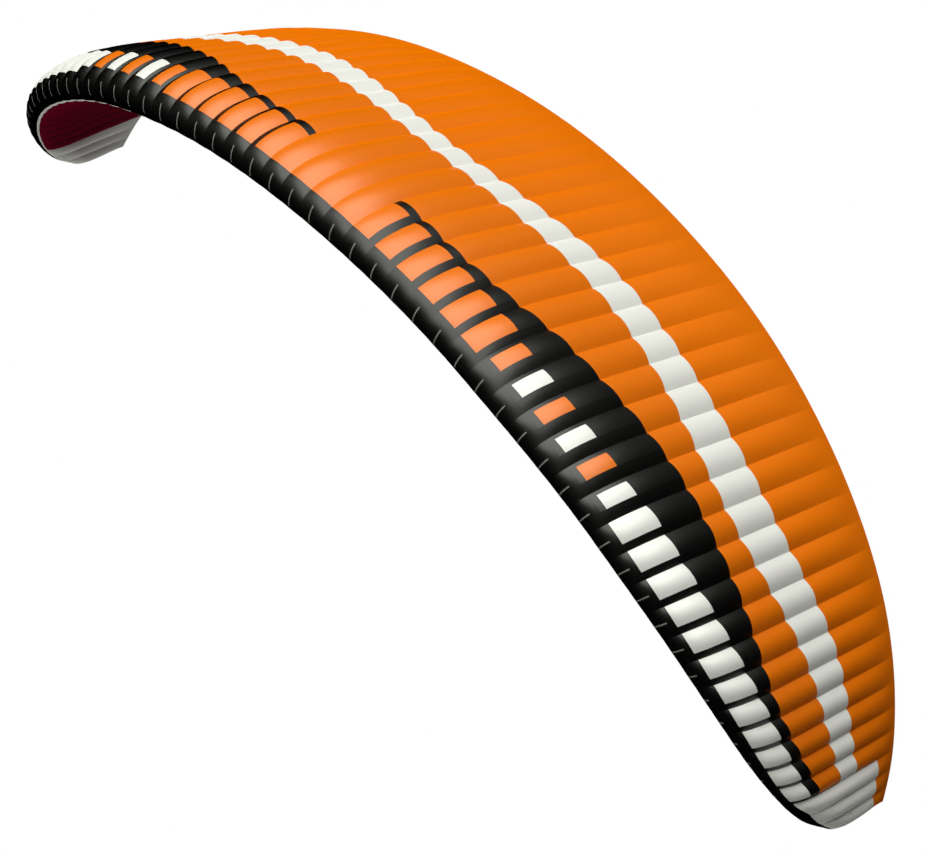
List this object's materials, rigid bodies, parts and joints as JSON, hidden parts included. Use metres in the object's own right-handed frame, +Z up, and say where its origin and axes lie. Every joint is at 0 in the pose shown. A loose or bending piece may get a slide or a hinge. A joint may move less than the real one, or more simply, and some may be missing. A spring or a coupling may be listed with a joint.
{
  "type": "paraglider wing",
  "caption": "Inflated ram-air paraglider wing: an arched, tapered aerofoil of sewn cloth cells with a black nose, orange top with a white band, white tips and a maroon underside.",
  "frame": {"origin": "on the bottom skin at the middle rib, 30% of the chord behind the nose, where the pull of the lines is centred", "axes": "+X along the span, +Y from the nose to the trailing edge, +Z up, away from the pilot"},
  "size_m": [9.3684, 2.6608, 3.0735],
  "materials": {
    "black_cloth": "coated ripstop nylon, satin",
    "orange_cloth": "coated ripstop nylon, satin",
    "white_cloth": "coated ripstop nylon, satin",
    "maroon_cloth": "coated ripstop nylon, satin"
  },
  "bodies": {
    "root": {"nose_left_1": "black_cloth", "nose_left_2": "black_cloth", "nose_left_3": "black_cloth", "nose_left_4": "black_cloth", "nose_left_5": "black_cloth", "nose_left_tip": "black_cloth", "nose_right_1": "black_cloth", "nose_right_2": "black_cloth", "nose_right_3": "black_cloth", "nose_right_4": "black_cloth", "nose_right_5": "black_cloth", "nose_right_tip": "black_cloth", "top_left_1": "orange_cloth", "top_left_2": "orange_cloth", "top_left_3": "orange_cloth", "top_left_4": "orange_cloth", "top_left_5": "orange_cloth", "top_left_tip": "white_cloth", "top_right_1": "orange_cloth", "top_right_2": "orange_cloth", "top_right_3": "orange_cloth", "top_right_4": "orange_cloth", "top_right_5": "orange_cloth", "top_right_tip": "white_cloth", "bottom_left_1": "maroon_cloth", "bottom_left_2": "maroon_cloth", "bottom_left_3": "maroon_cloth", "bottom_left_4": "maroon_cloth", "bottom_left_5": "maroon_cloth", "bottom_left_tip": "maroon_cloth", "bottom_right_1": "maroon_cloth", "bottom_right_2": "maroon_cloth", "bottom_right_3": "maroon_cloth", "bottom_right_4": "maroon_cloth", "bottom_right_5": "maroon_cloth", "bottom_right_tip": "maroon_cloth", "end_rib_left": "white_cloth", "end_rib_right": "white_cloth"}
  },
  "joints": []
}
